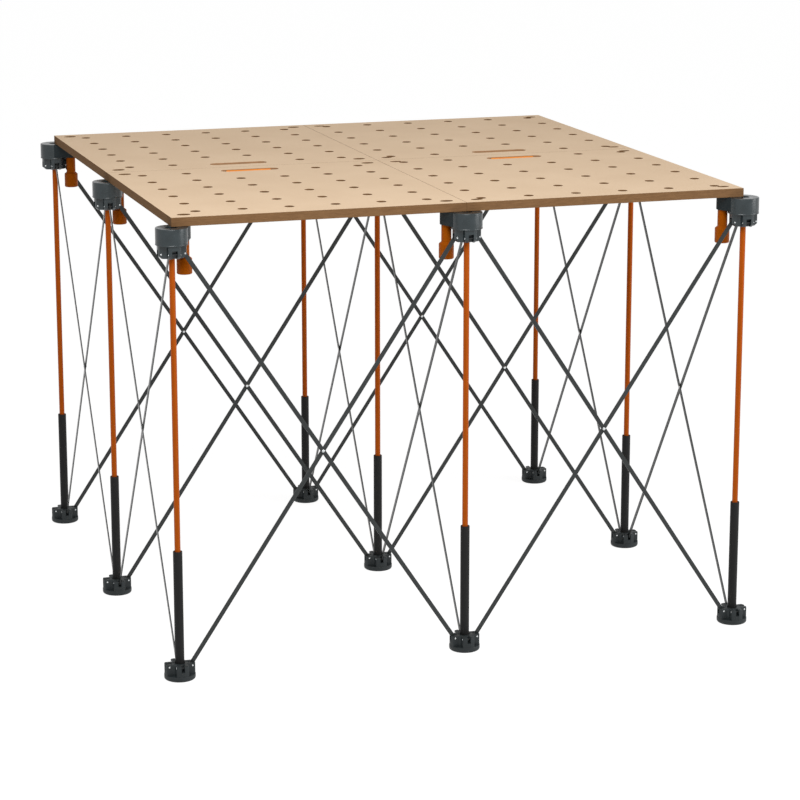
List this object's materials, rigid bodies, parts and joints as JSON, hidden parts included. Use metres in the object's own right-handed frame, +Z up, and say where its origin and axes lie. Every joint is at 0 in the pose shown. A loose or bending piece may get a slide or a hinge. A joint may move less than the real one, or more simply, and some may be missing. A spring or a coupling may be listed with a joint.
{
  "type": "folding workbench",
  "caption": "Square folding workbench: a collapsing frame of telescoping struts and scissor braces under a drilled board top in two hinged units, held by turning lock knobs.",
  "frame": {"origin": "on the floor under the centre strut, the middle of the frame's footprint", "axes": "+Z up; +X to the right along the front edge; +Y to the back, across the fold seam"},
  "size_m": [1.284, 1.284, 0.9445],
  "materials": {
    "panel_board": "satin",
    "head_plastic": "matte",
    "foot_plastic": "matte",
    "upper_tube_steel": "satin",
    "lower_tube_steel": "satin",
    "brace_steel": "satin",
    "pin_steel": "satin",
    "knob_plastic": "satin",
    "grip_plastic": "satin",
    "hinge_steel": "satin"
  },
  "bodies": {
    "lower_strut_front_left": {"lower_strut_front_left": "foot_plastic"},
    "upper_strut_front_left": {"upper_strut_front_left": "head_plastic"},
    "lower_strut_front_mid": {"lower_strut_front_mid": "foot_plastic"},
    "upper_strut_front_mid": {"upper_strut_front_mid": "head_plastic"},
    "lower_strut_front_right": {"lower_strut_front_right": "foot_plastic"},
    "upper_strut_front_right": {"upper_strut_front_right": "head_plastic"},
    "lower_strut_mid_left": {"lower_strut_mid_left": "foot_plastic"},
    "upper_strut_mid_left": {"upper_strut_mid_left": "head_plastic"},
    "lower_strut_centre": {"lower_strut_centre": "foot_plastic"},
    "upper_strut_centre": {"upper_strut_centre": "head_plastic"},
    "lower_strut_mid_right": {"lower_strut_mid_right": "foot_plastic"},
    "upper_strut_mid_right": {"upper_strut_mid_right": "head_plastic"},
    "lower_strut_back_left": {"lower_strut_back_left": "foot_plastic"},
    "upper_strut_back_left": {"upper_strut_back_left": "head_plastic"},
    "lower_strut_back_mid": {"lower_strut_back_mid": "foot_plastic"},
    "upper_strut_back_mid": {"upper_strut_back_mid": "head_plastic"},
    "lower_strut_back_right": {"lower_strut_back_right": "foot_plastic"},
    "upper_strut_back_right": {"upper_strut_back_right": "head_plastic"},
    "brace_centre_to_mid_right": {"brace_centre_to_mid_right": "brace_steel"},
    "brace_mid_right_to_centre": {"brace_mid_right_to_centre": "brace_steel"},
    "brace_centre_to_mid_left": {"brace_centre_to_mid_left": "brace_steel"},
    "brace_mid_left_to_centre": {"brace_mid_left_to_centre": "brace_steel"},
    "brace_centre_to_front_mid": {"brace_centre_to_front_mid": "brace_steel"},
    "brace_front_mid_to_centre": {"brace_front_mid_to_centre": "brace_steel"},
    "brace_centre_to_back_mid": {"brace_centre_to_back_mid": "brace_steel"},
    "brace_back_mid_to_centre": {"brace_back_mid_to_centre": "brace_steel"},
    "brace_front_mid_to_front_right": {"brace_front_mid_to_front_right": "brace_steel"},
    "brace_front_right_to_front_mid": {"brace_front_right_to_front_mid": "brace_steel"},
    "brace_front_mid_to_front_left": {"brace_front_mid_to_front_left": "brace_steel"},
    "brace_front_left_to_front_mid": {"brace_front_left_to_front_mid": "brace_steel"},
    "brace_back_mid_to_back_right": {"brace_back_mid_to_back_right": "brace_steel"},
    "brace_back_right_to_back_mid": {"brace_back_right_to_back_mid": "brace_steel"},
    "brace_back_mid_to_back_left": {"brace_back_mid_to_back_left": "brace_steel"},
    "brace_back_left_to_back_mid": {"brace_back_left_to_back_mid": "brace_steel"},
    "brace_mid_right_to_front_right": {"brace_mid_right_to_front_right": "brace_steel"},
    "brace_front_right_to_mid_right": {"brace_front_right_to_mid_right": "brace_steel"},
    "brace_mid_right_to_back_right": {"brace_mid_right_to_back_right": "brace_steel"},
    "brace_back_right_to_mid_right": {"brace_back_right_to_mid_right": "brace_steel"},
    "brace_mid_left_to_front_left": {"brace_mid_left_to_front_left": "brace_steel"},
    "brace_front_left_to_mid_left": {"brace_front_left_to_mid_left": "brace_steel"},
    "brace_mid_left_to_back_left": {"brace_mid_left_to_back_left": "brace_steel"},
    "brace_back_left_to_mid_left": {"brace_back_left_to_mid_left": "brace_steel"},
    "top_hinge_left": {"hinge_link_left_inner": "hinge_steel", "hinge_link_left_outer": "hinge_steel"},
    "top_front_left": {"panel_front_left": "panel_board", "hand_grip_left": "grip_plastic"},
    "top_back_left": {"panel_back_left": "panel_board"},
    "top_hinge_right": {"hinge_link_right_inner": "hinge_steel", "hinge_link_right_outer": "hinge_steel"},
    "top_front_right": {"panel_front_right": "panel_board", "hand_grip_right": "grip_plastic"},
    "top_back_right": {"panel_back_right": "panel_board"},
    "lock_knob_front_left": {"lock_knob_front_left": "knob_plastic"},
    "lock_knob_front_mid": {"lock_knob_front_mid": "knob_plastic"},
    "lock_knob_front_right": {"lock_knob_front_right": "knob_plastic"},
    "lock_knob_mid_left": {"lock_knob_mid_left": "knob_plastic"},
    "lock_knob_mid_right": {"lock_knob_mid_right": "knob_plastic"},
    "lock_knob_back_left": {"lock_knob_back_left": "knob_plastic"},
    "lock_knob_back_mid": {"lock_knob_back_mid": "knob_plastic"},
    "lock_knob_back_right": {"lock_knob_back_right": "knob_plastic"}
  },
  "joints": [
    {"name": "frame_fold", "type": "hinge", "parent": "lower_strut_centre", "child": "brace_centre_to_mid_right", "pos_m": [0.024, 0, 0.0285], "axis": [0, -1, 0], "range_deg": [0, 30]},
    {"name": "brace_mid_right_to_centre_rivet", "type": "hinge", "parent": "brace_centre_to_mid_right", "child": "brace_mid_right_to_centre", "pos_m": [0.305, 0, 0.45185], "axis": [0, -1, 0], "range_deg": [-60, 0]},
    {"name": "upper_strut_centre_head_pin", "type": "hinge", "parent": "brace_mid_right_to_centre", "child": "upper_strut_centre", "pos_m": [0.024, 0, 0.8752], "axis": [0, -1, 0], "range_deg": [0, 30]},
    {"name": "upper_strut_mid_right_head_pin", "type": "hinge", "parent": "brace_centre_to_mid_right", "child": "upper_strut_mid_right", "pos_m": [0.586, 0, 0.8752], "axis": [0, -1, 0], "range_deg": [-30, 0]},
    {"name": "lower_strut_mid_right_foot_pin", "type": "hinge", "parent": "brace_mid_right_to_centre", "child": "lower_strut_mid_right", "pos_m": [0.586, 0, 0.0285], "axis": [0, -1, 0], "range_deg": [0, 30]},
    {"name": "brace_centre_to_mid_left_foot_pin", "type": "hinge", "parent": "lower_strut_centre", "child": "brace_centre_to_mid_left", "pos_m": [-0.024, 0, 0.0285], "axis": [0, 1, 0], "range_deg": [0, 30]},
    {"name": "brace_mid_left_to_centre_rivet", "type": "hinge", "parent": "brace_centre_to_mid_left", "child": "brace_mid_left_to_centre", "pos_m": [-0.305, 0, 0.45185], "axis": [0, 1, 0], "range_deg": [-60, 0]},
    {"name": "upper_strut_mid_left_head_pin", "type": "hinge", "parent": "brace_centre_to_mid_left", "child": "upper_strut_mid_left", "pos_m": [-0.586, 0, 0.8752], "axis": [0, 1, 0], "range_deg": [-30, 0]},
    {"name": "lower_strut_mid_left_foot_pin", "type": "hinge", "parent": "brace_mid_left_to_centre", "child": "lower_strut_mid_left", "pos_m": [-0.586, 0, 0.0285], "axis": [0, 1, 0], "range_deg": [0, 30]},
    {"name": "brace_centre_to_front_mid_foot_pin", "type": "hinge", "parent": "lower_strut_centre", "child": "brace_centre_to_front_mid", "pos_m": [0, -0.024, 0.0285], "axis": [-1, 0, 0], "range_deg": [0, 30]},
    {"name": "brace_front_mid_to_centre_rivet", "type": "hinge", "parent": "brace_centre_to_front_mid", "child": "brace_front_mid_to_centre", "pos_m": [0, -0.305, 0.45185], "axis": [-1, 0, 0], "range_deg": [-60, 0]},
    {"name": "upper_strut_front_mid_head_pin", "type": "hinge", "parent": "brace_centre_to_front_mid", "child": "upper_strut_front_mid", "pos_m": [0, -0.586, 0.8752], "axis": [-1, 0, 0], "range_deg": [-30, 0]},
    {"name": "lower_strut_front_mid_foot_pin", "type": "hinge", "parent": "brace_front_mid_to_centre", "child": "lower_strut_front_mid", "pos_m": [0, -0.586, 0.0285], "axis": [-1, 0, 0], "range_deg": [0, 30]},
    {"name": "brace_centre_to_back_mid_foot_pin", "type": "hinge", "parent": "lower_strut_centre", "child": "brace_centre_to_back_mid", "pos_m": [0, 0.024, 0.0285], "axis": [1, 0, 0], "range_deg": [0, 30]},
    {"name": "brace_back_mid_to_centre_rivet", "type": "hinge", "parent": "brace_centre_to_back_mid", "child": "brace_back_mid_to_centre", "pos_m": [0, 0.305, 0.45185], "axis": [1, 0, 0], "range_deg": [-60, 0]},
    {"name": "upper_strut_back_mid_head_pin", "type": "hinge", "parent": "brace_centre_to_back_mid", "child": "upper_strut_back_mid", "pos_m": [0, 0.586, 0.8752], "axis": [1, 0, 0], "range_deg": [-30, 0]},
    {"name": "lower_strut_back_mid_foot_pin", "type": "hinge", "parent": "brace_back_mid_to_centre", "child": "lower_strut_back_mid", "pos_m": [0, 0.586, 0.0285], "axis": [1, 0, 0], "range_deg": [0, 30]},
    {"name": "brace_front_mid_to_front_right_foot_pin", "type": "hinge", "parent": "lower_strut_front_mid", "child": "brace_front_mid_to_front_right", "pos_m": [0.024, -0.61, 0.0285], "axis": [0, -1, 0], "range_deg": [0, 30]},
    {"name": "brace_front_right_to_front_mid_rivet", "type": "hinge", "parent": "brace_front_mid_to_front_right", "child": "brace_front_right_to_front_mid", "pos_m": [0.305, -0.61, 0.45185], "axis": [0, -1, 0], "range_deg": [-60, 0]},
    {"name": "upper_strut_front_right_head_pin", "type": "hinge", "parent": "brace_front_mid_to_front_right", "child": "upper_strut_front_right", "pos_m": [0.586, -0.61, 0.8752], "axis": [0, -1, 0], "range_deg": [-30, 0]},
    {"name": "lower_strut_front_right_foot_pin", "type": "hinge", "parent": "brace_front_right_to_front_mid", "child": "lower_strut_front_right", "pos_m": [0.586, -0.61, 0.0285], "axis": [0, -1, 0], "range_deg": [0, 30]},
    {"name": "brace_front_mid_to_front_left_foot_pin", "type": "hinge", "parent": "lower_strut_front_mid", "child": "brace_front_mid_to_front_left", "pos_m": [-0.024, -0.61, 0.0285], "axis": [0, 1, 0], "range_deg": [0, 30]},
    {"name": "brace_front_left_to_front_mid_rivet", "type": "hinge", "parent": "brace_front_mid_to_front_left", "child": "brace_front_left_to_front_mid", "pos_m": [-0.305, -0.61, 0.45185], "axis": [0, 1, 0], "range_deg": [-60, 0]},
    {"name": "upper_strut_front_left_head_pin", "type": "hinge", "parent": "brace_front_mid_to_front_left", "child": "upper_strut_front_left", "pos_m": [-0.586, -0.61, 0.8752], "axis": [0, 1, 0], "range_deg": [-30, 0]},
    {"name": "lower_strut_front_left_foot_pin", "type": "hinge", "parent": "brace_front_left_to_front_mid", "child": "lower_strut_front_left", "pos_m": [-0.586, -0.61, 0.0285], "axis": [0, 1, 0], "range_deg": [0, 30]},
    {"name": "brace_back_mid_to_back_right_foot_pin", "type": "hinge", "parent": "lower_strut_back_mid", "child": "brace_back_mid_to_back_right", "pos_m": [0.024, 0.61, 0.0285], "axis": [0, -1, 0], "range_deg": [0, 30]},
    {"name": "brace_back_right_to_back_mid_rivet", "type": "hinge", "parent": "brace_back_mid_to_back_right", "child": "brace_back_right_to_back_mid", "pos_m": [0.305, 0.61, 0.45185], "axis": [0, -1, 0], "range_deg": [-60, 0]},
    {"name": "upper_strut_back_right_head_pin", "type": "hinge", "parent": "brace_back_mid_to_back_right", "child": "upper_strut_back_right", "pos_m": [0.586, 0.61, 0.8752], "axis": [0, -1, 0], "range_deg": [-30, 0]},
    {"name": "lower_strut_back_right_foot_pin", "type": "hinge", "parent": "brace_back_right_to_back_mid", "child": "lower_strut_back_right", "pos_m": [0.586, 0.61, 0.0285], "axis": [0, -1, 0], "range_deg": [0, 30]},
    {"name": "brace_back_mid_to_back_left_foot_pin", "type": "hinge", "parent": "lower_strut_back_mid", "child": "brace_back_mid_to_back_left", "pos_m": [-0.024, 0.61, 0.0285], "axis": [0, 1, 0], "range_deg": [0, 30]},
    {"name": "brace_back_left_to_back_mid_rivet", "type": "hinge", "parent": "brace_back_mid_to_back_left", "child": "brace_back_left_to_back_mid", "pos_m": [-0.305, 0.61, 0.45185], "axis": [0, 1, 0], "range_deg": [-60, 0]},
    {"name": "upper_strut_back_left_head_pin", "type": "hinge", "parent": "brace_back_mid_to_back_left", "child": "upper_strut_back_left", "pos_m": [-0.586, 0.61, 0.8752], "axis": [0, 1, 0], "range_deg": [-30, 0]},
    {"name": "lower_strut_back_left_foot_pin", "type": "hinge", "parent": "brace_back_left_to_back_mid", "child": "lower_strut_back_left", "pos_m": [-0.586, 0.61, 0.0285], "axis": [0, 1, 0], "range_deg": [0, 30]},
    {"name": "brace_mid_right_to_front_right_foot_pin", "type": "hinge", "parent": "lower_strut_mid_right", "child": "brace_mid_right_to_front_right", "pos_m": [0.61, -0.024, 0.0285], "axis": [-1, 0, 0], "range_deg": [0, 30]},
    {"name": "brace_front_right_to_mid_right_rivet", "type": "hinge", "parent": "brace_mid_right_to_front_right", "child": "brace_front_right_to_mid_right", "pos_m": [0.61, -0.305, 0.45185], "axis": [-1, 0, 0], "range_deg": [-60, 0]},
    {"name": "brace_mid_right_to_back_right_foot_pin", "type": "hinge", "parent": "lower_strut_mid_right", "child": "brace_mid_right_to_back_right", "pos_m": [0.61, 0.024, 0.0285], "axis": [1, 0, 0], "range_deg": [0, 30]},
    {"name": "brace_back_right_to_mid_right_rivet", "type": "hinge", "parent": "brace_mid_right_to_back_right", "child": "brace_back_right_to_mid_right", "pos_m": [0.61, 0.305, 0.45185], "axis": [1, 0, 0], "range_deg": [-60, 0]},
    {"name": "brace_mid_left_to_front_left_foot_pin", "type": "hinge", "parent": "lower_strut_mid_left", "child": "brace_mid_left_to_front_left", "pos_m": [-0.61, -0.024, 0.0285], "axis": [-1, 0, 0], "range_deg": [0, 30]},
    {"name": "brace_front_left_to_mid_left_rivet", "type": "hinge", "parent": "brace_mid_left_to_front_left", "child": "brace_front_left_to_mid_left", "pos_m": [-0.61, -0.305, 0.45185], "axis": [-1, 0, 0], "range_deg": [-60, 0]},
    {"name": "brace_mid_left_to_back_left_foot_pin", "type": "hinge", "parent": "lower_strut_mid_left", "child": "brace_mid_left_to_back_left", "pos_m": [-0.61, 0.024, 0.0285], "axis": [1, 0, 0], "range_deg": [0, 30]},
    {"name": "brace_back_left_to_mid_left_rivet", "type": "hinge", "parent": "brace_mid_left_to_back_left", "child": "brace_back_left_to_mid_left", "pos_m": [-0.61, 0.305, 0.45185], "axis": [1, 0, 0], "range_deg": [-60, 0]},
    {"name": "top_lift_left", "type": "slide", "parent": "upper_strut_centre", "child": "top_hinge_left", "axis": [0, 0, 1], "range_m": [0, 0.97]},
    {"name": "top_fold_front_left", "type": "hinge", "parent": "top_hinge_left", "child": "top_front_left", "pos_m": [-0.305, -0.0045, 0.9305], "axis": [1, 0, 0], "range_deg": [0, 89]},
    {"name": "top_fold_back_left", "type": "hinge", "parent": "top_hinge_left", "child": "top_back_left", "pos_m": [-0.305, 0.0045, 0.9305], "axis": [-1, 0, 0], "range_deg": [0, 89]},
    {"name": "top_lift_right", "type": "slide", "parent": "upper_strut_centre", "child": "top_hinge_right", "axis": [0, 0, 1], "range_m": [0, 0.97]},
    {"name": "top_fold_front_right", "type": "hinge", "parent": "top_hinge_right", "child": "top_front_right", "pos_m": [0.305, -0.0045, 0.9305], "axis": [1, 0, 0], "range_deg": [0, 89]},
    {"name": "top_fold_back_right", "type": "hinge", "parent": "top_hinge_right", "child": "top_back_right", "pos_m": [0.305, 0.0045, 0.9305], "axis": [-1, 0, 0], "range_deg": [0, 89]},
    {"name": "lock_knob_front_left_turn", "type": "hinge", "parent": "upper_strut_front_left", "child": "lock_knob_front_left", "pos_m": [-0.5775, -0.5775, 0.9262], "axis": [0, 0, 1], "range_deg": [0, 90]},
    {"name": "lock_knob_front_mid_turn", "type": "hinge", "parent": "upper_strut_front_mid", "child": "lock_knob_front_mid", "pos_m": [-0.0325, -0.5775, 0.9262], "axis": [0, 0, 1], "range_deg": [0, 90]},
    {"name": "lock_knob_front_right_turn", "type": "hinge", "parent": "upper_strut_front_right", "child": "lock_knob_front_right", "pos_m": [0.5775, -0.5775, 0.9262], "axis": [0, 0, 1], "range_deg": [0, 90]},
    {"name": "lock_knob_mid_left_turn", "type": "hinge", "parent": "upper_strut_mid_left", "child": "lock_knob_mid_left", "pos_m": [-0.5775, 0.0325, 0.9262], "axis": [0, 0, 1], "range_deg": [0, 90]},
    {"name": "lock_knob_mid_right_turn", "type": "hinge", "parent": "upper_strut_mid_right", "child": "lock_knob_mid_right", "pos_m": [0.5775, -0.0325, 0.9262], "axis": [0, 0, 1], "range_deg": [0, 90]},
    {"name": "lock_knob_back_left_turn", "type": "hinge", "parent": "upper_strut_back_left", "child": "lock_knob_back_left", "pos_m": [-0.5775, 0.5775, 0.9262], "axis": [0, 0, 1], "range_deg": [0, 90]},
    {"name": "lock_knob_back_mid_turn", "type": "hinge", "parent": "upper_strut_back_mid", "child": "lock_knob_back_mid", "pos_m": [0.0325, 0.5775, 0.9262], "axis": [0, 0, 1], "range_deg": [0, 90]},
    {"name": "lock_knob_back_right_turn", "type": "hinge", "parent": "upper_strut_back_right", "child": "lock_knob_back_right", "pos_m": [0.5775, 0.5775, 0.9262], "axis": [0, 0, 1], "range_deg": [0, 90]}
  ],
  "couplings": [
    {"joint": "brace_mid_right_to_centre_rivet", "follows": "frame_fold", "ratio": -2},
    {"joint": "upper_strut_centre_head_pin", "follows": "frame_fold", "ratio": 1},
    {"joint": "upper_strut_mid_right_head_pin", "follows": "frame_fold", "ratio": -1},
    {"joint": "lower_strut_mid_right_foot_pin", "follows": "frame_fold", "ratio": 1},
    {"joint": "brace_centre_to_mid_left_foot_pin", "follows": "frame_fold", "ratio": 1},
    {"joint": "brace_mid_left_to_centre_rivet", "follows": "frame_fold", "ratio": -2},
    {"joint": "upper_strut_mid_left_head_pin", "follows": "frame_fold", "ratio": -1},
    {"joint": "lower_strut_mid_left_foot_pin", "follows": "frame_fold", "ratio": 1},
    {"joint": "brace_centre_to_front_mid_foot_pin", "follows": "frame_fold", "ratio": 1},
    {"joint": "brace_front_mid_to_centre_rivet", "follows": "frame_fold", "ratio": -2},
    {"joint": "upper_strut_front_mid_head_pin", "follows": "frame_fold", "ratio": -1},
    {"joint": "lower_strut_front_mid_foot_pin", "follows": "frame_fold", "ratio": 1},
    {"joint": "brace_centre_to_back_mid_foot_pin", "follows": "frame_fold", "ratio": 1},
    {"joint": "brace_back_mid_to_centre_rivet", "follows": "frame_fold", "ratio": -2},
    {"joint": "upper_strut_back_mid_head_pin", "follows": "frame_fold", "ratio": -1},
    {"joint": "lower_strut_back_mid_foot_pin", "follows": "frame_fold", "ratio": 1},
    {"joint": "brace_front_mid_to_front_right_foot_pin", "follows": "frame_fold", "ratio": 1},
    {"joint": "brace_front_right_to_front_mid_rivet", "follows": "frame_fold", "ratio": -2},
    {"joint": "upper_strut_front_right_head_pin", "follows": "frame_fold", "ratio": -1},
    {"joint": "lower_strut_front_right_foot_pin", "follows": "frame_fold", "ratio": 1},
    {"joint": "brace_front_mid_to_front_left_foot_pin", "follows": "frame_fold", "ratio": 1},
    {"joint": "brace_front_left_to_front_mid_rivet", "follows": "frame_fold", "ratio": -2},
    {"joint": "upper_strut_front_left_head_pin", "follows": "frame_fold", "ratio": -1},
    {"joint": "lower_strut_front_left_foot_pin", "follows": "frame_fold", "ratio": 1},
    {"joint": "brace_back_mid_to_back_right_foot_pin", "follows": "frame_fold", "ratio": 1},
    {"joint": "brace_back_right_to_back_mid_rivet", "follows": "frame_fold", "ratio": -2},
    {"joint": "upper_strut_back_right_head_pin", "follows": "frame_fold", "ratio": -1},
    {"joint": "lower_strut_back_right_foot_pin", "follows": "frame_fold", "ratio": 1},
    {"joint": "brace_back_mid_to_back_left_foot_pin", "follows": "frame_fold", "ratio": 1},
    {"joint": "brace_back_left_to_back_mid_rivet", "follows": "frame_fold", "ratio": -2},
    {"joint": "upper_strut_back_left_head_pin", "follows": "frame_fold", "ratio": -1},
    {"joint": "lower_strut_back_left_foot_pin", "follows": "frame_fold", "ratio": 1},
    {"joint": "brace_mid_right_to_front_right_foot_pin", "follows": "frame_fold", "ratio": 1},
    {"joint": "brace_front_right_to_mid_right_rivet", "follows": "frame_fold", "ratio": -2},
    {"joint": "brace_mid_right_to_back_right_foot_pin", "follows": "frame_fold", "ratio": 1},
    {"joint": "brace_back_right_to_mid_right_rivet", "follows": "frame_fold", "ratio": -2},
    {"joint": "brace_mid_left_to_front_left_foot_pin", "follows": "frame_fold", "ratio": 1},
    {"joint": "brace_front_left_to_mid_left_rivet", "follows": "frame_fold", "ratio": -2},
    {"joint": "brace_mid_left_to_back_left_foot_pin", "follows": "frame_fold", "ratio": 1},
    {"joint": "brace_back_left_to_mid_left_rivet", "follows": "frame_fold", "ratio": -2},
    {"joint": "top_fold_front_left", "follows": "top_lift_left", "rad_per_m": 1.6},
    {"joint": "top_fold_back_left", "follows": "top_lift_left", "rad_per_m": 1.6},
    {"joint": "top_fold_front_right", "follows": "top_lift_right", "rad_per_m": 1.6},
    {"joint": "top_fold_back_right", "follows": "top_lift_right", "rad_per_m": 1.6}
  ]
}
